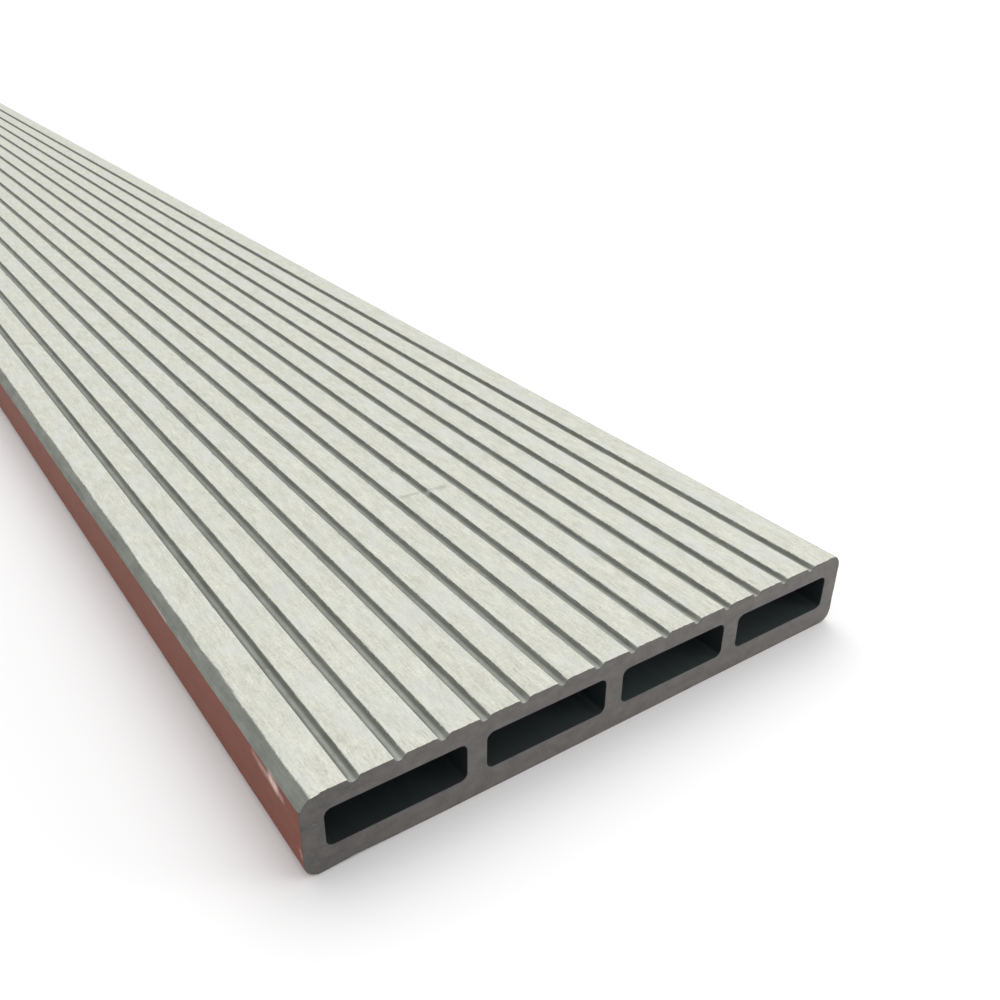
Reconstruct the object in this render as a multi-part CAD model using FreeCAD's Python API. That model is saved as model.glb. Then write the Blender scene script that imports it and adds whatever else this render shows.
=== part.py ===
import FreeCAD, Part
import math
import os

# Composite fence board: one hollow extrusion of wood-plastic composite, in mm.
# It lies flat. X runs across the width, Y along the length and Z up through the thickness.
# The origin is under the board's centre, on the face that it lies on.

# Overall size of the finished stock
board_length = 1800.0
board_width = 150.0
board_thickness = 20.0
outer_corner_radius = 3.5

# Brushing takes this much off the show face, so its round edges end in a crisp arris
brushed_off = 0.25

# Chambers that run through the whole length
chamber_count = 4
side_wall = 4.8
web_thickness = 4.8
top_wall = 4.8
bottom_wall = 5.8
chamber_corner_radius = 1.7

# Grooves in the show face, measured on the finished face
groove_count = 14
groove_pitch = 9.8
groove_width = 2.6
groove_depth = 1.1
rib_edge_radius = 0.5

# A run shorter than this is no run: two round corners meet there
shortest_run = 0.000001

extruded_thickness = board_thickness + brushed_off
parts_folder = "parts"
node_name = "fence_board"


def section_point(x, z):
    """A point of the cross-section, in the plane of the cut at the near end."""
    return FreeCAD.Vector(x, -board_length / 2, z)


class Outline:
    """A closed outline of straight runs and round corners, drawn as a pen moves."""

    def __init__(self, x, z):
        self.start = (x, z)
        self.pen = (x, z)
        self.edges = []

    def line_to(self, x, z):
        if math.dist(self.pen, (x, z)) > shortest_run:
            self.edges.append(Part.makeLine(section_point(*self.pen), section_point(x, z)))
        self.pen = (x, z)

    def round_to(self, x, z, centre_x, centre_z):
        """Less than half a turn about the centre, by way of the point halfway round it."""
        radius = math.dist(self.pen, (centre_x, centre_z))
        half_x = (self.pen[0] + x) / 2 - centre_x
        half_z = (self.pen[1] + z) / 2 - centre_z
        reach = radius / math.hypot(half_x, half_z)
        middle = section_point(centre_x + half_x * reach, centre_z + half_z * reach)
        arc = Part.Arc(section_point(*self.pen), middle, section_point(x, z))
        self.edges.append(arc.toShape())
        self.pen = (x, z)

    def face(self):
        self.line_to(*self.start)
        return Part.Face(Part.Wire(self.edges))


def rounded_box(x_low, x_high, z_low, z_high, radius):
    """The face of a rectangle with four round corners."""
    outline = Outline(x_low + radius, z_low)
    outline.line_to(x_high - radius, z_low)
    outline.round_to(x_high, z_low + radius, x_high - radius, z_low + radius)
    outline.line_to(x_high, z_high - radius)
    outline.round_to(x_high - radius, z_high, x_high - radius, z_high - radius)
    outline.line_to(x_low + radius, z_high)
    outline.round_to(x_low, z_high - radius, x_low + radius, z_high - radius)
    outline.line_to(x_low, z_low + radius)
    outline.round_to(x_low + radius, z_low, x_low + radius, z_low + radius)
    return outline.face()


def groove_centres():
    """The middle of each groove, evenly spaced about the board's centre line."""
    first = -groove_pitch * (groove_count - 1) / 2
    return [first + groove_pitch * index for index in range(groove_count)]


def groove_profile(centre_x):
    """One groove: a round root that runs smoothly into the rounded edges of the ribs."""
    top = extruded_thickness
    floor = board_thickness - groove_depth
    edge = rib_edge_radius
    edge_z = top - edge
    # How far the centre of a rib edge is from the groove's middle
    edge_x = groove_width / 2 + math.sqrt(edge**2 - (edge - brushed_off) ** 2)
    # The circle that touches the floor and both rib edges
    rise = edge_z - floor
    root = (edge_x**2 + rise**2 - edge**2) / (2 * (rise + edge))
    root_z = floor + root
    share = root / (root + edge)
    meet_x = edge_x * share
    meet_z = root_z + (edge_z - root_z) * share
    outline = Outline(centre_x - edge_x, top)
    outline.round_to(centre_x - meet_x, meet_z, centre_x - edge_x, edge_z)
    outline.round_to(centre_x + meet_x, meet_z, centre_x, root_z)
    outline.round_to(centre_x + edge_x, top, centre_x + edge_x, edge_z)
    return outline.face()


def chamber_profiles():
    """The open rectangles between the side walls and the webs."""
    clear_width = board_width - 2 * side_wall - (chamber_count - 1) * web_thickness
    chamber_width = clear_width / chamber_count
    profiles = []
    for index in range(chamber_count):
        left = -board_width / 2 + side_wall + index * (chamber_width + web_thickness)
        profiles.append(
            rounded_box(
                left,
                left + chamber_width,
                bottom_wall,
                board_thickness - top_wall,
                chamber_corner_radius,
            )
        )
    return profiles


def brushed_layer():
    """What the brushes take off: all that the extrusion has above the finished thickness."""
    corners = [
        section_point(-board_width / 2, board_thickness),
        section_point(board_width / 2, board_thickness),
        section_point(board_width / 2, extruded_thickness),
        section_point(-board_width / 2, extruded_thickness),
    ]
    return Part.Face(Part.makePolygon(corners + corners[:1]))


def board_section():
    """The whole cross-section: a round-cornered bar less its chambers, its grooves and the skin."""
    bar = rounded_box(
        -board_width / 2, board_width / 2, 0.0, extruded_thickness, outer_corner_radius
    )
    grooves = [groove_profile(centre_x) for centre_x in groove_centres()]
    return bar.cut(chamber_profiles() + grooves + [brushed_layer()])


def fence_board():
    """The section drawn out along the length, as the die makes it, and sawn square."""
    return board_section().Faces[0].extrude(FreeCAD.Vector(0, board_length, 0))


def write_part():
    os.makedirs(parts_folder, exist_ok=True)
    board = fence_board()
    board.exportStep(os.path.join(parts_folder, node_name + ".step"))
    box = board.BoundBox
    print(node_name, "valid", board.isValid(), "solids", len(board.Solids), "faces", len(board.Faces))
    print("size in mm", round(box.XLength, 3), round(box.YLength, 3), round(box.ZLength, 3))
    print("volume in cm3", round(board.Volume / 1000, 2))


write_part()
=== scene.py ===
import math

import bpy
from mathutils import Euler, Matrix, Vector, noise
from mathutils.geometry import tessellate_polygon


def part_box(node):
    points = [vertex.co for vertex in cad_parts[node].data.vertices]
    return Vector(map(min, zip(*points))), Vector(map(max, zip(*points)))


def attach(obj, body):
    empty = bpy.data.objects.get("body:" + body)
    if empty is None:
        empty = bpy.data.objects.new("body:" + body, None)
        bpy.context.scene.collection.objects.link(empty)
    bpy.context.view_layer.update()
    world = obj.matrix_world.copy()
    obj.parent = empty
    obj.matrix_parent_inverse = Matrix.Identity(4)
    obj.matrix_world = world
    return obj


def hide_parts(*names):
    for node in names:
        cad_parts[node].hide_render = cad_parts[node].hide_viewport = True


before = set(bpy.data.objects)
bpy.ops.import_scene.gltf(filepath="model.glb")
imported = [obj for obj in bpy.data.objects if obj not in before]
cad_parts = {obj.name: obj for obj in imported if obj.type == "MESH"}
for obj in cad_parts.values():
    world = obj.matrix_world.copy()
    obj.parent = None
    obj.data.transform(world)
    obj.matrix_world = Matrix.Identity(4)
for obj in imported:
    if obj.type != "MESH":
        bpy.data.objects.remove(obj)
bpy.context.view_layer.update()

# Looks of a hollow composite fence board that lies flat: brushed ribs, grey grooves,
# a red-brown left side and sawn ends. Lengths in this script are in mm, and places are
# in the frame of the part. They are turned into metres where a mesh, lamp or camera is made.
metre = 1000.0

node_name = "fence_board"
piece_name = "brushed_board"
box_low, box_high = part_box(node_name)
near_y = box_low.y * metre
far_y = box_high.y * metre
board_length = far_y - near_y
half_width = box_high.x * metre
top_z = box_high.z * metre

# The section, as the frame has it
outer_radius = 3.5
brushed_off = 0.25
chamber_count = 4
side_wall = 4.8
web_thickness = 4.8
top_wall = 4.8
bottom_wall = 5.8
chamber_radius = 1.7
groove_count = 14
groove_pitch = 9.8
groove_width = 2.6
groove_depth = 1.1
rib_edge = 0.5

# How finely the mesh follows it
outer_steps = 6
edge_steps = 2
root_steps = 12
rib_steps = 14
wall_steps = 4
underside_steps = 20
chamber_steps = 6
chamber_stations = 12
first_spacing = 1.0
spacing_growth = 1.021
widest_spacing = 24.0
far_end_taper = 0.16
sharp_angle = 18.0

# Fine relief that the brushes and the saw leave
streak_relief = 0.022
furrow_relief = 0.014
relief_margin = 1.0
groove_edge_wear = 0.07
outer_edge_wear = 0.035
outer_edge_wave = 0.08
saw_break = 0.06
saw_break_spread = 0.14
outer_chip = 0.90
chamber_chip = 0.20
largest_break = 0.9

# The near end's top left corner is worn most
worn_corner = (-73.6, 19.4)
worn_corner_reach = 2.9
worn_corner_size = 1.20

# How far the brushes reach down into the grooves from the ribs' edges
brushed_into_groove = 0.2

# Sizes of the noise that the relief is made of. Pairs run across and along the board
streak_size = (0.8, 26.0)
furrow_size = (2.6, 70.0)
ragged_length = 2.4
nick_length = 0.9
nick_share = 0.6
wave_length = 15.0
break_size = 0.6
chip_size = 0.9

# Added to a noise before what is below 0 is dropped. The higher it is, the more is worn
relief_bias = 0.5
wear_bias = 0.15
wave_bias = 0.35
chip_bias = -0.1

# Seeds, and the step between the noise of one rib edge and the next, so that no two are alike
ragged_seed = 1.0
streak_seed = 3.0
wave_seed = 5.0
nick_seed = 8.0
furrow_seed = 11.0
chip_seed = 20.0
near_end_seed = 31.0
far_end_seed = 57.0
near_chamber_seed = 71.0
far_chamber_seed = 83.0
edge_apart = 13.7

# The mesh's material slots, in the order in which the materials are made
surface_slot, sawn_slot, chamber_slot = range(3)

# The board's map, in shares of its width and height: the outside, the chambers and the sawn ends
map_name = "OFBake"
map_gap = 0.004
outer_map_right = 0.79
chamber_map_width = 0.026
show_face_weight = 2.0
cap_map_left = outer_map_right + map_gap + chamber_count * (chamber_map_width + map_gap)
cap_map_width = 1.0 - cap_map_left
cap_map_height = 0.495
cap_map_far = 1.0 - cap_map_height

# The centres of the outer corners. The lower ones are one radius above the underside
inner_x = half_width - outer_radius
extruded_z = top_z + brushed_off
upper_corner_z = extruded_z - outer_radius

# The centre of a rib's rounded edge, measured from its groove's middle
rib_edge_x = groove_width / 2 + math.sqrt(rib_edge**2 - (rib_edge - brushed_off) ** 2)
rib_edge_z = extruded_z - rib_edge

# The round root touches the groove's floor and both ribs' edges
floor_z = top_z - groove_depth
rise = rib_edge_z - floor_z
groove_root = (rib_edge_x**2 + rise**2 - rib_edge**2) / (2 * (rise + rib_edge))
root_z = floor_z + groove_root
meet_angle = math.degrees(math.atan2(root_z - rib_edge_z, rib_edge_x))


def field(x, y, size_x, size_y, seed):
    """Smooth noise from -1 to 1 with features of about these sizes."""
    return noise.noise(Vector((x / size_x, y / size_y, seed)))


def arc(centre_x, centre_z, radius, first, last, steps):
    """Points round a corner, without its first one. Angles are in degrees from +X towards +Z."""
    points = []
    for step in range(1, steps + 1):
        angle = math.radians(first + (last - first) * step / steps)
        points.append((centre_x + radius * math.cos(angle), centre_z + radius * math.sin(angle)))
    return points


def straight(start, end, steps):
    """Points of a straight run, without its first one."""
    points = []
    for step in range(1, steps + 1):
        share = step / steps
        points.append(tuple(a + (b - a) * share for a, b in zip(start, end)))
    return points


def groove_middle(index):
    """Where the middle of a groove is across the board."""
    return groove_pitch * (index - (groove_count - 1) / 2)


def brushed_depth(edge, y, wear, wave):
    """How deep the brushes went at one of the ribs' edges. They never leave it above the show face."""
    ragged = field(edge, y, 1.0, ragged_length, ragged_seed)
    ragged += nick_share * field(edge, y, 1.0, nick_length, nick_seed)
    slow = field(edge, y, 1.0, wave_length, wave_seed)
    return brushed_off + wear * max(0.0, ragged + wear_bias) + wave * max(0.0, slow + wave_bias)


def edge_depths(y):
    """How deep the brushes went at all the ribs' edges, from the left of the board to the right."""
    last_edge = 2 * groove_count + 1
    depths = []
    for edge in range(last_edge + 1):
        outermost = edge in (0, last_edge)
        wear = outer_edge_wear if outermost else groove_edge_wear
        wave = outer_edge_wave if outermost else 0.0
        depths.append(brushed_depth(edge * edge_apart, y, wear, wave))
    return depths


def cut_angle(radius, depth):
    """Where the brushed face cuts a rounded edge, in degrees above the horizontal."""
    return math.degrees(math.asin((radius - depth) / radius))


def cut_point(centre_x, centre_z, radius, depth):
    """Where a rib's face ends: the brushed face's cut through the rounded edge on its right."""
    return arc(centre_x, centre_z, radius, 0.0, cut_angle(radius, depth), 1)[0]


def rib_top(start, end, y):
    """The brushed face of one rib, with its furrows, between its two edges."""
    points = []
    for x, z in straight(start, end, rib_steps)[:-1]:
        streaks = field(x, y, *streak_size, streak_seed)
        furrows = field(x, y, *furrow_size, furrow_seed)
        relief = streak_relief * (streaks + relief_bias) + furrow_relief * (furrows + relief_bias)
        from_edge = min(x - start[0], end[0] - x)
        blend = min(1.0, from_edge / relief_margin)
        z = z + (top_z - z) * blend
        points.append((x, z - max(0.0, relief) * blend))
    return points + [end]


def groove(index, left_depth, right_depth):
    """One groove from its left rib's edge to its right rib's edge."""
    middle = groove_middle(index)
    cut = cut_angle(rib_edge, left_depth)
    points = arc(middle - rib_edge_x, rib_edge_z, rib_edge, cut, meet_angle, edge_steps)
    points += arc(middle, root_z, groove_root, 180.0 + meet_angle, 360.0 - meet_angle, root_steps)
    cut = 180.0 - cut_angle(rib_edge, right_depth)
    points += arc(middle + rib_edge_x, rib_edge_z, rib_edge, 180.0 - meet_angle, cut, edge_steps)
    return points


def outer_outline(y):
    """The outline of the board at one place along it, clockwise as seen from the near end.

    It gives each point as (x, z), and the numbers of the points where a rib begins or ends.
    """
    depths = edge_depths(y)
    points = arc(-inner_x, outer_radius, outer_radius, 270.0, 180.0, outer_steps)
    points += straight(points[-1], (-half_width, upper_corner_z), wall_steps)
    cut = 180.0 - cut_angle(outer_radius, depths[0])
    points += arc(-inner_x, upper_corner_z, outer_radius, 180.0, cut, outer_steps)
    arrises = [len(points) - 1]
    for index in range(groove_count):
        left_depth, right_depth = depths[2 * index + 1 : 2 * index + 3]
        end = cut_point(groove_middle(index) - rib_edge_x, rib_edge_z, rib_edge, left_depth)
        points += rib_top(points[-1], end, y)
        arrises.append(len(points) - 1)
        points += groove(index, left_depth, right_depth)
        arrises.append(len(points) - 1)
    end = cut_point(inner_x, upper_corner_z, outer_radius, depths[-1])
    points += rib_top(points[-1], end, y)
    arrises.append(len(points) - 1)
    cut = cut_angle(outer_radius, depths[-1])
    points += arc(inner_x, upper_corner_z, outer_radius, cut, 0.0, outer_steps)
    points += straight(points[-1], (half_width, outer_radius), wall_steps)
    points += arc(inner_x, outer_radius, outer_radius, 0.0, -90.0, outer_steps)
    points += straight(points[-1], (-inner_x, 0.0), underside_steps)
    return points, arrises


def chamber_outline(index):
    """The outline of one chamber, anticlockwise as seen from the near end."""
    clear = 2 * half_width - 2 * side_wall - (chamber_count - 1) * web_thickness
    width = clear / chamber_count
    left = -half_width + side_wall + index * (width + web_thickness) + chamber_radius
    right = left + width - 2 * chamber_radius
    low = bottom_wall + chamber_radius
    high = top_z - top_wall - chamber_radius
    points = arc(right, low, chamber_radius, 270.0, 360.0, chamber_steps)
    points.append((right + chamber_radius, high))
    points += arc(right, high, chamber_radius, 0.0, 90.0, chamber_steps)
    points.append((left, high + chamber_radius))
    points += arc(left, high, chamber_radius, 90.0, 180.0, chamber_steps)
    points.append((left - chamber_radius, low))
    points += arc(left, low, chamber_radius, 180.0, 270.0, chamber_steps)
    points.append((right, low - chamber_radius))
    return points


def into_material(points):
    """Each point's direction into the board, square to the outline. The material is on its right."""
    ways = []
    for here in range(len(points)):
        before = Vector(points[here - 1])
        after = Vector(points[(here + 1) % len(points)])
        way = after - before
        ways.append(Vector((way.y, -way.x)).normalized())
    return ways


def corner_wear(x, y, z):
    """How much further the edge is gone at the worn corner of the near end."""
    if y > near_y + first_spacing:
        return 0.0
    nearness = max(0.0, 1.0 - math.dist((x, z), worn_corner) / worn_corner_reach)
    return worn_corner_size * nearness * (2.0 - nearness)


def broken_edge(points, y, seed, most):
    """How far the saw broke the edge at each point of an outline.

    It is least where the points are close, so that the outline never crosses itself.
    """
    sizes = []
    for here, (x, z) in enumerate(points):
        spread = 0.5 + 0.5 * field(x, z, break_size, break_size, seed)
        chip = field(x, z, chip_size, chip_size, seed + chip_seed)
        size = saw_break + saw_break_spread * spread + most * max(0.0, chip + chip_bias)
        size += corner_wear(x, y, z)
        after = points[(here + 1) % len(points)]
        closest = min(math.dist(points[here - 1], (x, z)), math.dist((x, z), after))
        room = largest_break * closest
        sizes.append(size * room / (size + room))
    return sizes


def ring(points, y):
    """A row of places round the board at one place along it."""
    return [Vector((x, y, z)) for x, z in points]


def sawn_rings(points, y, inward, seed, most):
    """The two rows at a sawn end: one on the cut, drawn in by the broken edge, and one behind it."""
    sizes = broken_edge(points, y, seed, most)
    cut = []
    behind = []
    for (x, z), way, size in zip(points, into_material(points), sizes):
        cut.append(Vector((x + way.x * size, y, z + way.y * size)))
        behind.append(Vector((x, y + inward * size, z)))
    return cut, behind


def stations():
    """Places along the board, close together at its ends and further apart between them."""
    places = []
    spacing = first_spacing
    y = near_y + first_spacing
    while y < far_y - first_spacing:
        places.append(y)
        y += min(spacing, widest_spacing, first_spacing + far_end_taper * (far_y - y))
        spacing *= spacing_growth
    return places


def tube_rows(near_points, far_points, between, near_seed, far_seed, most):
    """All the rows of a tube, from the near end's cut to the far end's."""
    near_cut, near_behind = sawn_rings(near_points, near_y, 1.0, near_seed, most)
    far_cut, far_behind = sawn_rings(far_points, far_y, -1.0, far_seed, most)
    return [near_cut, near_behind] + between + [far_behind, far_cut]


def outer_rows():
    """The rows of the outside, with its outline at the near end and the numbers of the arrises."""
    near_points, arrises = outer_outline(near_y)
    far_points = outer_outline(far_y)[0]
    between = [ring(outer_outline(y)[0], y) for y in stations()]
    rows = tube_rows(near_points, far_points, between, near_end_seed, far_end_seed, outer_chip)
    return rows, near_points, arrises


def chamber_rows(index, points):
    """The rows of one chamber's walls."""
    places = [near_y + board_length * step / chamber_stations for step in range(1, chamber_stations)]
    between = [ring(points, y) for y in places]
    near_seed = near_chamber_seed + index
    far_seed = far_chamber_seed + index
    return tube_rows(points, points, between, near_seed, far_seed, chamber_chip)


def share_of_length(rows):
    """How far up the map each row is: half by its number and half by its place along the board."""
    last = len(rows) - 1
    shares = []
    for number, row in enumerate(rows):
        along = (row[0].y - near_y) / board_length
        shares.append((number / last + along) / 2)
    return shares


def share_of_girth(points, weights, low, high):
    """Where each point is across the map, from low to high, with the first one again at the end."""
    lengths = [0.0]
    for here, weight in enumerate(weights):
        run = math.dist(points[here], points[(here + 1) % len(points)])
        lengths.append(lengths[-1] + run * weight)
    return [low + (high - low) * length / lengths[-1] for length in lengths]


def cap_map_place(place, facing):
    """Where a place of a sawn end is on the map: the near end's is below the far end's."""
    across = cap_map_left + cap_map_width * place.z / top_z
    up = cap_map_height * (place.x / (2 * half_width) + 0.5)
    return across, up + (cap_map_far if facing > 0 else 0.0)


class Mesh:
    """The faces of the board as they are gathered, with what each corner and point carries."""

    def __init__(self):
        self.places = []
        self.faces = []
        self.slots = []
        self.map_places = []
        self.carried = {"brushed_margin": [], "groove_depth": [], "groove_side": []}

    def tube(self, rows, slot, cut_slot, across, carried=None):
        """A closed tube through the rows. It returns the numbers of its first and last rows' points."""
        up = share_of_length(rows)
        count = len(rows[0])
        start = len(self.places)
        for row in rows:
            self.places += row
            for name, values in self.carried.items():
                values += carried[name] if carried else [0.0] * count
        last = len(rows) - 1
        for row in range(last):
            here = start + row * count
            beyond = here + count
            low, high = up[row], up[row + 1]
            for point, (x, y, z) in enumerate(rows[row]):
                after = (point + 1) % count
                self.faces.append((here + point, here + after, beyond + after, beyond + point))
                broken = row in (0, last - 1) and corner_wear(x, y, z) == 0.0
                self.slots.append(cut_slot if broken else slot)
                left, right = across[point], across[point + 1]
                self.map_places += [(left, low), (right, low), (right, high), (left, high)]
        first_row = list(range(start, start + count))
        return first_row, [number + last * count for number in first_row]

    def size_along_y(self, face):
        """Twice a triangle's area, negative where it faces towards the near end."""
        a, b, c = (self.places[number] for number in face)
        return (b - a).cross(c - a).y

    def cap(self, loops, slot, facing):
        """A sawn end between the outer outline and the chambers, facing along Y as the sign says."""
        outlines = [[self.places[number] for number in loop] for loop in loops]
        numbers = [number for loop in loops for number in loop]
        faces = [[numbers[corner] for corner in corners] for corners in tessellate_polygon(outlines)]
        turned = sum(self.size_along_y(face) for face in faces) * facing < 0
        for face in faces:
            if turned:
                face.reverse()
            self.faces.append(face)
            self.slots.append(slot)
            self.map_places += [cap_map_place(self.places[number], facing) for number in face]


def brushed_margins(points, arrises):
    """Distance round the outline to where the brushes no longer reach, negative beyond it."""
    lengths = [0.0]
    for here, after in zip(points, points[1:]):
        lengths.append(lengths[-1] + math.dist(here, after))
    marks = []
    for number in arrises:
        outermost = number in (arrises[0], arrises[-1])
        marks.append((lengths[number], 0.0 if outermost else brushed_into_groove))
    margins = []
    for number, length in enumerate(lengths):
        passed = sum(1 for arris in arrises if arris <= number)
        if passed % 2 == 1:
            margins.append(min(reach + abs(length - mark) for mark, reach in marks))
        else:
            margins.append(max(reach - abs(length - mark) for mark, reach in marks))
    return margins


def groove_places(points, arrises):
    """How deep each point is in a groove, from 0 to 1, and how far right of the nearest middle."""
    middles = [groove_middle(index) for index in range(groove_count)]
    depths = []
    sides = []
    for number, (x, z) in enumerate(points):
        inside = arrises[0] < number < arrises[-1]
        depths.append(max(0.0, (top_z - z) / groove_depth) if inside else 0.0)
        sides.append(min((x - middle for middle in middles), key=abs))
    return depths, sides


def board_mesh():
    """The whole board: its outside, its chambers' walls and its two sawn ends."""
    mesh = Mesh()
    rows, points, arrises = outer_rows()
    depths, sides = groove_places(points, arrises)
    margins = brushed_margins(points, arrises)
    carried = {"brushed_margin": margins, "groove_depth": depths, "groove_side": sides}
    weights = []
    for number in range(len(points)):
        weights.append(show_face_weight if arrises[0] <= number < arrises[-1] else 1.0)
    across = share_of_girth(points, weights, 0.0, outer_map_right)
    loops = [mesh.tube(rows, surface_slot, sawn_slot, across, carried)]
    for index in range(chamber_count):
        outline = chamber_outline(index)
        left = outer_map_right + map_gap + index * (chamber_map_width + map_gap)
        across = share_of_girth(outline, [1.0] * len(outline), left, left + chamber_map_width)
        loops.append(mesh.tube(chamber_rows(index, outline), chamber_slot, sawn_slot, across))
    near_loops, far_loops = zip(*loops)
    mesh.cap(near_loops, sawn_slot, -1.0)
    mesh.cap(far_loops, sawn_slot, 1.0)
    return mesh


def board_object(mesh, materials):
    """The board's piece, with its materials, its map and the values that the materials read."""
    data = bpy.data.meshes.new(piece_name)
    data.from_pydata([place / metre for place in mesh.places], [], mesh.faces)
    for material in materials:
        data.materials.append(material)
    data.polygons.foreach_set("material_index", mesh.slots)
    data.polygons.foreach_set("use_smooth", [True] * len(mesh.faces))
    for name, values in mesh.carried.items():
        data.attributes.new(name, "FLOAT", "POINT").data.foreach_set("value", values)
    flat_places = [share for place in mesh.map_places for share in place]
    data.uv_layers.new(name=map_name).data.foreach_set("uv", flat_places)
    data.validate()
    data.set_sharp_from_angle(angle=math.radians(sharp_angle))
    board = bpy.data.objects.new(piece_name, data)
    bpy.context.scene.collection.objects.link(board)
    return board


def linear(red, green, blue):
    """A colour given as it shows on a screen, from 0 to 255, as the shader takes it."""
    values = []
    for value in (red, green, blue):
        share = value / 255.0
        values.append(share / 12.92 if share <= 0.04045 else ((share + 0.055) / 1.055) ** 2.4)
    return (*values, 1.0)


# The mix node has sockets of one name for numbers and for colours, so they go by their numbers:
# the two things mixed and the result
mix_numbers = (2, 3, 0)
mix_colours = (6, 7, 2)


class Recipe:
    """A material written as sums of its nodes' outputs."""

    def __init__(self, name):
        self.material = bpy.data.materials.new(name)
        self.material.use_nodes = True
        self.tree = self.material.node_tree
        self.shader = self.tree.nodes["Principled BSDF"]
        self.place = self.vector("SCALE", self.node("ShaderNodeTexCoord", {}, "Object"), scale=metre)

    def node(self, kind, inputs, output, **settings):
        """Makes a node and feeds its inputs. It returns one of the node's outputs."""
        made = self.tree.nodes.new(kind)
        for name, value in settings.items():
            setattr(made, name, value)
        for key, value in inputs.items():
            self.feed(made.inputs[key], value)
        return made.outputs[output]

    def feed(self, socket, value):
        """Links another node's output to a socket, or sets the socket to a fixed value."""
        if isinstance(value, bpy.types.NodeSocket):
            self.tree.links.new(value, socket)
        else:
            socket.default_value = value

    def finish(self, **inputs):
        """Sets the shader's own sockets. A word's underscores stand for spaces."""
        for name, value in inputs.items():
            self.feed(self.shader.inputs[name.replace("_", " ")], value)
        return self.material

    def vector(self, operation, a, b=None, scale=None):
        inputs = {0: a}
        if b is not None:
            inputs[1] = b
        if scale is not None:
            inputs["Scale"] = scale
        return self.node("ShaderNodeVectorMath", inputs, "Vector", operation=operation)

    def length(self, a):
        return self.node("ShaderNodeVectorMath", {0: a}, "Value", operation="LENGTH")

    def dot(self, a, b):
        return self.node("ShaderNodeVectorMath", {0: a, 1: b}, "Value", operation="DOT_PRODUCT")

    def math(self, operation, a, b=0.0):
        return self.node("ShaderNodeMath", {0: a, 1: b}, "Value", operation=operation)

    def along(self, axis):
        """How far the shaded point is along one axis, in mm."""
        return self.node("ShaderNodeSeparateXYZ", {0: self.place}, axis)

    def attribute(self, name):
        """What the mesh's points carry under this name."""
        return self.node("ShaderNodeAttribute", {}, "Fac", attribute_name=name)

    def times(self, *values):
        product = values[0]
        for value in values[1:]:
            product = self.math("MULTIPLY", product, value)
        return product

    def sum(self, total, *parts):
        """A first value with more added to it. Each part is a value and its weight."""
        for value, weight in parts:
            total = self.math("ADD", total, self.times(value, weight))
        return total

    def step(self, value, low, high):
        """0 at low, 1 at high and smooth between. High may be below low."""
        if high < low:
            return self.math("SUBTRACT", 1.0, self.step(value, high, low))
        inputs = {"Value": value, "From Min": low, "From Max": high}
        return self.node("ShaderNodeMapRange", inputs, "Result", interpolation_type="SMOOTHSTEP")

    def band(self, value, low, full_from, full_to, high):
        """1 between the two middle values, and 0 below low and above high."""
        return self.times(self.step(value, low, full_from), self.step(value, high, full_to))

    def noise(self, sizes, detail=2.0, roughness=0.5, place=None):
        """Noise from -0.5 to 0.5, with features of these sizes in mm along X, Y and Z."""
        spread = self.vector("DIVIDE", place or self.place, sizes)
        inputs = {"Vector": spread, "Scale": 1.0, "Detail": detail, "Roughness": roughness}
        return self.math("SUBTRACT", self.node("ShaderNodeTexNoise", inputs, "Fac"), 0.5)

    def mixed(self, kind, sockets, share, a, b):
        """A mix of two things of one kind, b by its share and a by the rest."""
        a_socket, b_socket, result = sockets
        inputs = {0: share, a_socket: a, b_socket: b}
        return self.node("ShaderNodeMix", inputs, result, data_type=kind)

    def mix(self, share, a, b):
        """A mix of two colours."""
        return self.mixed("RGBA", mix_colours, share, a, b)

    def blend(self, share, a, b):
        """The same mix for two numbers."""
        return self.mixed("FLOAT", mix_numbers, share, a, b)

    def bump(self, height):
        """The normal of a surface with this relief, in mm."""
        inputs = {"Strength": 1.0, "Distance": 1.0 / metre, "Height": height}
        return self.node("ShaderNodeBump", inputs, "Normal")

    def stroke(self, start, end, half_size, ragged):
        """1 on a straight mark between two places, 0 away from it, with a ragged edge."""
        along = Vector(end) - Vector(start)
        apart = self.vector("SUBTRACT", self.place, start)
        share = self.math("DIVIDE", self.dot(apart, tuple(along)), along.length_squared)
        share = self.math("MINIMUM", self.math("MAXIMUM", share, 0.0), 1.0)
        foot = self.vector("SCALE", tuple(along), scale=share)
        off = self.length(self.vector("SUBTRACT", apart, foot))
        return self.step(self.math("ADD", off, ragged), half_size, 0.0)


# Albedos of the composite
brushed_dark = linear(178, 179, 168)
brushed_light = linear(225, 225, 213)
brushed_cool = linear(205, 207, 205)
fibre_dark = linear(150, 149, 141)
skin_dark = linear(100, 104, 97)
skin_light = linear(140, 144, 135)
dust = linear(172, 176, 168)
# Painted shade for the grooves' roots and right walls
groove_shade_colour = linear(62, 64, 60)
red_dark = linear(109, 60, 46)
red_light = linear(125, 74, 59)
scuff = linear(222, 196, 188)
sawn_dark = linear(66, 64, 63)
sawn_light = linear(98, 95, 92)
fleck_light = linear(128, 126, 121)
# Painted shade: the chambers' walls are near black for the shade inside them
chamber_shade_colour = linear(28, 35, 36)
# Dust and painted light for the chambers' floors
chamber_dust_and_light = linear(57, 64, 65)
floor_white = linear(246, 246, 246)

# Distances from the saw's cut where each of these begins and where it is full: more fibres show,
# the dust in the grooves is thicker, and the saw's own dust lies on all of the groove
fibres_near_cut = (16.0, 3.0)
thicker_near_cut = (80.0, 15.0)
saw_dust_near_cut = (3.0, 0.5)

# How much of the skin the dust on the grooves' floors hides, and what the last two add to it
floor_dust = 0.34
thicker_dust = 0.21
saw_dust = 0.15
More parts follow.
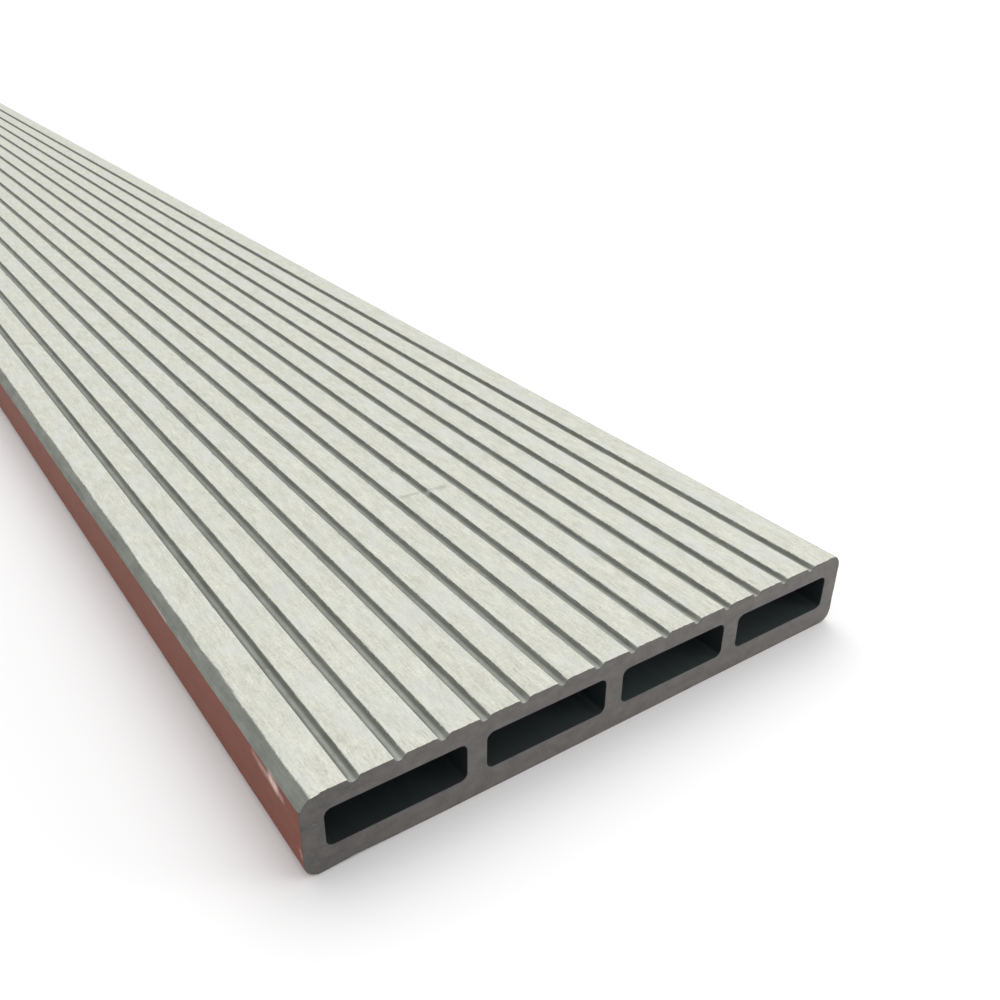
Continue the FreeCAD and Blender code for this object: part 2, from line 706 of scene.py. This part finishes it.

# Places across the board, from the nearest groove's middle towards the right: painted shade on the
# groove's root and right wall, dust on its floor, spots that the brushes missed on the rib to its left,
# the softer line there, and the board's outer left edge, which is further left than any rib's middle
groove_shade_band = (0.45, 0.75, 0.85, 1.20)
dust_fade = (0.70, 0.08)
missed_band = (-6.0, -5.0, -1.4, -1.0)
softer_line = (-0.6, -1.2)
outer_left_edge = (-5.0, -6.0)

# The red-brown reaches up to a ragged line at this height, and down to where the underside begins
red_top_z = 17.2
red_upper_fade = 0.12
red_lower_fade = 0.2

# Where the skin gets cloudier up the sides, where painted light brightens the sawn ends and the
# chambers' floors across the board, and where the dust and painted light on the chambers' floors ends
# and is full
cloudier_heights = (13.0, 16.0)
end_light_places = (-74.0, -44.0)
chamber_light_places = (-70.0, 10.0)
chamber_dust_and_light_heights = (bottom_wall + 0.9, bottom_wall + 0.1)


def on_side(from_end, z):
    """A place on the left side, by its distance from the near end."""
    return (-half_width, near_y + from_end, z)


def on_top(x, from_end, down=0.0):
    """A place on the show face, or that far down in a groove, by its distance from the near end."""
    return (x, near_y + from_end, top_z - down)


# Marks: where they start and end, half their width, and how strong they are
side_marks = [
    (on_side(20.6, 16.2), on_side(17.6, 15.6), 1.50, 0.26),
    (on_side(17.8, 15.6), on_side(13.0, 15.2), 1.70, 0.36),
    (on_side(12.4, 15.8), on_side(10.3, 15.3), 2.40, 0.95),
    (on_side(10.0, 15.1), on_side(7.6, 14.7), 1.50, 0.36),
    (on_side(79.6, 17.9), on_side(70.4, 17.5), 0.70, 0.35),
    (on_side(1.2, 6.9), on_side(0.7, 5.9), 0.75, 0.38),
]
top_marks = [
    (on_top(-2.4, 88.1), on_top(2.6, 87.5), 0.85, 0.28),
    (on_top(-2.4, 87.8), on_top(-0.8, 87.6), 1.80, 0.34),
    (on_top(1.0, 87.9), on_top(2.4, 87.5), 1.40, 0.20),
    (on_top(5.8, 87.5), on_top(10.9, 87.0), 0.85, 0.30),
    (on_top(9.3, 86.5), on_top(10.3, 86.7), 2.20, 0.40),
]

# The burr that the scratch pushed into a groove, 0.8 below the show face
groove_burr = (on_top(4.2, 87.5, 0.8), on_top(5.6, 87.4, 0.8), 1.60)


class BoardSurface(Recipe):
    """The outside of the extrusion: brushed ribs, grey skin, and the red-brown left side.

    What several of its looks share is made once.
    """

    def __init__(self):
        super().__init__("composite_surface")
        self.side = self.attribute("groove_side")
        self.from_saw = self.math("SUBTRACT", -near_y, self.math("ABSOLUTE", self.along("Y")))
        wander = self.times(self.noise((6.0, 22.0, 6.0)), 2.2)
        sideways = self.node("ShaderNodeCombineXYZ", {"X": wander}, "Vector")
        bent = self.vector("ADD", self.place, sideways)
        self.streaks = self.noise((0.5, 4.2, 0.5), 2.0, 0.6, bent)
        self.broad = self.noise((1.3, 9.0, 1.3), 2.0, 0.5, bent)
        self.fibres = self.step(self.noise((0.38, 2.4, 0.38), 1.0, 0.5, bent), 0.12, 0.26)
        self.grain = self.noise((0.5, 0.8, 0.5), 2.0, 0.6)
        self.die_lines = self.noise((0.5, 60.0, 0.5), 2.0, 0.5)
        self.peel = self.noise((0.8, 1.6, 0.8), 2.0, 0.5)
        self.cloud = self.noise((2.8, 8.0, 2.8), 3.0, 0.55)
        self.scuffs = self.side_scuffs()
        self.burr = self.stroke(*groove_burr, self.times(self.grain, 0.5))

    def brushed(self):
        """The ribs' face: streaks of the brushes, flecks of wood flour, cooler patches, scratches."""
        mottle = self.noise((2.4, 4.4, 2.4), 3.0, 0.65)
        patches = self.noise((7.0, 14.0, 7.0), 2.0, 0.5)
        tone = self.sum(0.5, (self.streaks, 0.8), (self.broad, 0.5), (mottle, 0.65), (self.grain, 0.9))
        colour = self.mix(tone, brushed_dark, brushed_light)
        cooler = self.mix(0.5, colour, brushed_cool)
        colour = self.mix(self.step(patches, -0.05, 0.25), colour, cooler)
        near_cut = self.step(self.from_saw, *fibres_near_cut)
        worn = self.sum(0.0, (self.step(patches, 0.1, -0.2), 0.3), (near_cut, 0.3))
        colour = self.mix(self.times(self.fibres, worn), colour, fibre_dark)
        for start, end, half_size, strength in top_marks:
            mark = self.stroke(start, end, half_size, self.times(self.grain, 0.4))
            colour = self.mix(self.times(mark, strength), colour, fibre_dark)
        return colour

    def grey_skin(self):
        """The skin that the die left, cloudier high on the sides."""
        cloudiness = self.sum(0.5, (self.step(self.along("Z"), *cloudier_heights), 0.8))
        tone = self.sum(0.5, (self.die_lines, 0.7), (self.peel, 0.5), (self.cloud, cloudiness))
        return self.mix(tone, skin_dark, skin_light)

    def with_dust_and_shade(self, skin):
        """The skin with dust in the grooves, and painted shade on their roots and right walls."""
        in_groove = self.step(self.attribute("groove_depth"), 0.05, 0.30)
        # Painted shade: the groove's root and right wall are darkened where shade falls
        wall_shade = self.times(self.band(self.side, *groove_shade_band), in_groove, 0.26)
        skin = self.mix(wall_shade, skin, groove_shade_colour)
        on_floor = self.step(self.math("ABSOLUTE", self.side), *dust_fade)
        near_cut = self.step(self.from_saw, *thicker_near_cut)
        at_cut = self.step(self.from_saw, *saw_dust_near_cut)
        amount = self.sum(floor_dust, (near_cut, thicker_dust))
        thickness = self.sum(0.0, (on_floor, amount), (at_cut, saw_dust))
        loose = self.sum(1.0, (self.cloud, 1.0), (self.peel, 1.0))
        return self.mix(self.times(thickness, in_groove, loose), skin, dust)

    def with_red_side(self, skin):
        """The skin with the left side's red-brown and its scuffs."""
        height = self.sum(self.along("Z"), (self.grain, 0.7))
        low_enough = self.step(height, red_top_z + red_upper_fade, red_top_z - red_upper_fade)
        on_left = self.step(self.along("X"), red_lower_fade - inner_x, -inner_x)
        red = self.mix(self.sum(0.5, (self.cloud, 1.2), (self.peel, 1.2)), red_dark, red_light)
        skin = self.mix(self.times(low_enough, on_left), skin, red)
        return self.mix(self.scuffs, skin, scuff)

    def side_scuffs(self):
        """How strong the scuffs on the left side are, from 0 to 1."""
        scratches = self.noise((0.5, 1.6, 0.35), 2.0, 0.6)
        ragged = self.sum(0.0, (self.grain, 0.5), (scratches, 0.9))
        strongest = 0.0
        for start, end, half_size, strength in side_marks:
            mark = self.stroke(start, end, half_size, ragged)
            strongest = self.math("MAXIMUM", strongest, self.times(mark, strength))
        return self.times(strongest, self.step(scratches, -0.30, 0.02))

    def brushed_share(self):
        """1 where the brushes reached and 0 where they didn't, with a frayed line between."""
        spots = self.step(self.noise((3.0, 7.0, 3.0), 2.0, 0.5), 0.06, 0.24)
        missed = self.times(
            spots, self.band(self.side, *missed_band), self.sum(0.5, (self.grain, 1.2))
        )
        drift = self.noise((3.0, 12.0, 3.0), 1.0, 0.5)
        nibbled = self.noise((1.0, 2.2, 1.0), 1.0, 0.5)
        outer_left = self.step(self.side, *outer_left_edge)
        reach = self.sum(
            self.attribute("brushed_margin"),
            (self.grain, 0.5),
            (nibbled, 0.35),
            (self.burr, 0.45),
            (missed, -0.9),
            (drift, self.sum(0.35, (outer_left, 0.5))),
            (outer_left, -0.12),
        )
        softness = self.sum(1.0, (self.step(self.side, *softer_line), 1.2))
        return self.step(self.math("DIVIDE", reach, softness), -0.12, 0.12)

    def dressed(self):
        """The finished material: the brushed ribs over the skin."""
        skin = self.with_red_side(self.with_dust_and_shade(self.grey_skin()))
        skin = self.mix(self.times(self.burr, 0.55), skin, dust)
        share = self.brushed_share()
        brushed_height = self.sum(0.0, (self.streaks, 0.06), (self.broad, 0.04), (self.fibres, -0.02))
        skin_height = self.sum(0.0, (self.die_lines, 0.012), (self.peel, 0.010), (self.scuffs, -0.02))
        skin_roughness = self.sum(0.60, (self.peel, 0.2))
        brushed_roughness = self.sum(0.85, (self.grain, 0.2))
        return self.finish(
            Base_Color=self.mix(share, skin, self.brushed()),
            Roughness=self.blend(share, skin_roughness, brushed_roughness),
            Normal=self.bump(self.blend(share, skin_height, brushed_height)),
            Specular_IOR_Level=0.15,
        )


def sawn_material():
    """The sawn ends: grey-brown composite with saw lines, flecks of wood flour, and painted light that
    brightens them towards the right.
    """
    r = Recipe("sawn_composite")
    lines = r.noise((0.6, 9.0, 4.0), 2.0, 0.6)
    mottle = r.noise((3.6, 9.0, 2.4), 3.0, 0.6)
    grain = r.noise((0.5, 9.0, 0.5), 3.0, 0.6)
    flecks = r.step(r.noise((0.6, 9.0, 0.7), 1.0, 0.5), 0.18, 0.28)
    # Painted light: the sawn ends are lighter towards the right, as where more light falls
    lit_rightward = r.step(r.along("X"), *end_light_places)
    tone = r.sum(0.45, (lit_rightward, 0.3), (lines, 0.15), (mottle, 1.3), (grain, 0.6))
    colour = r.mix(tone, sawn_dark, sawn_light)
    return r.finish(
        Base_Color=r.mix(r.times(flecks, 0.45), colour, fleck_light),
        Roughness=r.sum(0.75, (grain, 0.25)),
        Normal=r.bump(r.sum(0.0, (lines, 0.03), (grain, 0.03))),
        Specular_IOR_Level=0.3,
    )


def chamber_material():
    """Near black painted shade on the chambers' walls, with the die's lines, and dust and painted light
    on the floor, more on the right.
    """
    r = Recipe("chamber_skin")
    lines = r.noise((0.6, 90.0, 0.6), 2.0, 0.5)
    cloud = r.noise((3.0, 12.0, 3.0), 2.0, 0.5)
    # Dust, and painted light: the floor is lighter than the walls, as where light falls, and more so
    # towards the right
    on_floor = r.step(r.along("Z"), *chamber_dust_and_light_heights)
    amount = r.sum(0.30, (r.step(r.along("X"), *chamber_light_places), 0.55))
    dust_and_light = r.times(on_floor, amount, r.sum(1.0, (cloud, 0.7), (lines, 0.5)))
    return r.finish(
        Base_Color=r.mix(dust_and_light, chamber_shade_colour, chamber_dust_and_light),
        Roughness=r.sum(0.65, (cloud, 0.2)),
        Normal=r.bump(r.times(lines, 0.02)),
        Specular_IOR_Level=0.2,
    )


# The floor, a hair below the board
floor_half_size = 40000.0
floor_drop = 0.02


def studio_floor():
    r = Recipe("studio_floor")
    half = floor_half_size / metre
    level = -floor_drop / metre
    data = bpy.data.meshes.new("studio_floor")
    corners = [(-half, -half, level), (half, -half, level), (half, half, level), (-half, half, level)]
    data.from_pydata(corners, [], [(0, 1, 2, 3)])
    data.materials.append(r.finish(Base_Color=floor_white, Roughness=0.9, Specular_IOR_Level=0.1))
    floor = bpy.data.objects.new("studio_floor", data)
    bpy.context.scene.collection.objects.link(floor)


# Light: a soft sky with haze along the horizon, brightest above and behind, and a broad lamp there
bright_side = Vector((0.35, 0.45, 0.82)).normalized()
sky_turn = (-0.4, 0.9)
sky_strengths = (0.70, 1.0)
haze_heights = (0.12, 0.35)
haze_strength = 1.0
key_strength = 0.72
key_spread = 50.0

# A small soft lamp low at the right of the near end
end_lamp_place = Vector((430.0, -1230.0, 60.0))
end_lamp_aim = Vector((0.0, -900.0, 10.0))
end_lamp_size = 200.0
end_lamp_watts = 1.6


def sky_step(tree, value, ends, results):
    """From the first result to the second, smoothly, as the value goes from one end to the other."""
    made = tree.nodes.new("ShaderNodeMapRange")
    made.interpolation_type = "SMOOTHSTEP"
    tree.links.new(value, made.inputs["Value"])
    for name, number in zip(("From Min", "From Max", "To Min", "To Max"), ends + results):
        made.inputs[name].default_value = number
    return made.outputs["Result"]


def soft_sky():
    world = bpy.data.worlds.new("studio_sky")
    bpy.context.scene.world = world
    world.use_nodes = True
    tree = world.node_tree
    way = tree.nodes.new("ShaderNodeTexCoord").outputs["Generated"]
    towards = tree.nodes.new("ShaderNodeVectorMath")
    towards.operation = "DOT_PRODUCT"
    tree.links.new(way, towards.inputs[0])
    towards.inputs[1].default_value = bright_side
    height = tree.nodes.new("ShaderNodeSeparateXYZ")
    tree.links.new(way, height.inputs[0])
    strength = sky_step(tree, towards.outputs["Value"], sky_turn, sky_strengths)
    haze = sky_step(tree, height.outputs["Z"], haze_heights, (1.0, 0.0))
    blended = tree.nodes.new("ShaderNodeMix")
    first, second, result = mix_numbers
    tree.links.new(haze, blended.inputs[0])
    tree.links.new(strength, blended.inputs[first])
    blended.inputs[second].default_value = haze_strength
    background = tree.nodes["Background"]
    tree.links.new(blended.outputs[result], background.inputs["Strength"])
    background.inputs["Color"].default_value = (1.0, 1.0, 1.0, 1.0)


def new_lamp(name, kind, strength, towards):
    """A lamp that shines from the side to which the direction points."""
    light = bpy.data.lights.new(name, kind)
    light.energy = strength
    lamp = bpy.data.objects.new(name, light)
    lamp.rotation_mode = "QUATERNION"
    lamp.rotation_quaternion = towards.to_track_quat("Z", "Y")
    bpy.context.scene.collection.objects.link(lamp)
    return lamp


def lamps():
    end_lamp = new_lamp("end_light", "AREA", end_lamp_watts, end_lamp_place - end_lamp_aim)
    end_lamp.location = end_lamp_place / metre
    end_lamp.data.size = end_lamp_size / metre
    end_lamp.visible_camera = False
    key = new_lamp("key", "SUN", key_strength, bright_side)
    key.data.angle = math.radians(key_spread)


# The camera stands close to the near left corner and looks down over the board
camera_place = Vector((-122.073, -1026.526, 153.836))
camera_turn = (61.1895, -0.7856, -35.1039)
camera_lens = 36.177
camera_film = 36.0
camera_near = 10.0
camera_far = 200000.0


def photo_camera():
    data = bpy.data.cameras.new("photo_camera")
    data.lens = camera_lens
    data.sensor_width = camera_film
    data.clip_start = camera_near / metre
    data.clip_end = camera_far / metre
    camera = bpy.data.objects.new("photo_camera", data)
    camera.location = camera_place / metre
    camera.rotation_euler = Euler([math.radians(angle) for angle in camera_turn], "XYZ")
    bpy.context.scene.collection.objects.link(camera)
    bpy.context.scene.camera = camera


bpy.context.scene.view_settings.view_transform = "Standard"
photo_camera()
soft_sky()
lamps()
studio_floor()
board = board_object(board_mesh(), [BoardSurface().dressed(), sawn_material(), chamber_material()])
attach(board, "root")
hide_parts(node_name)
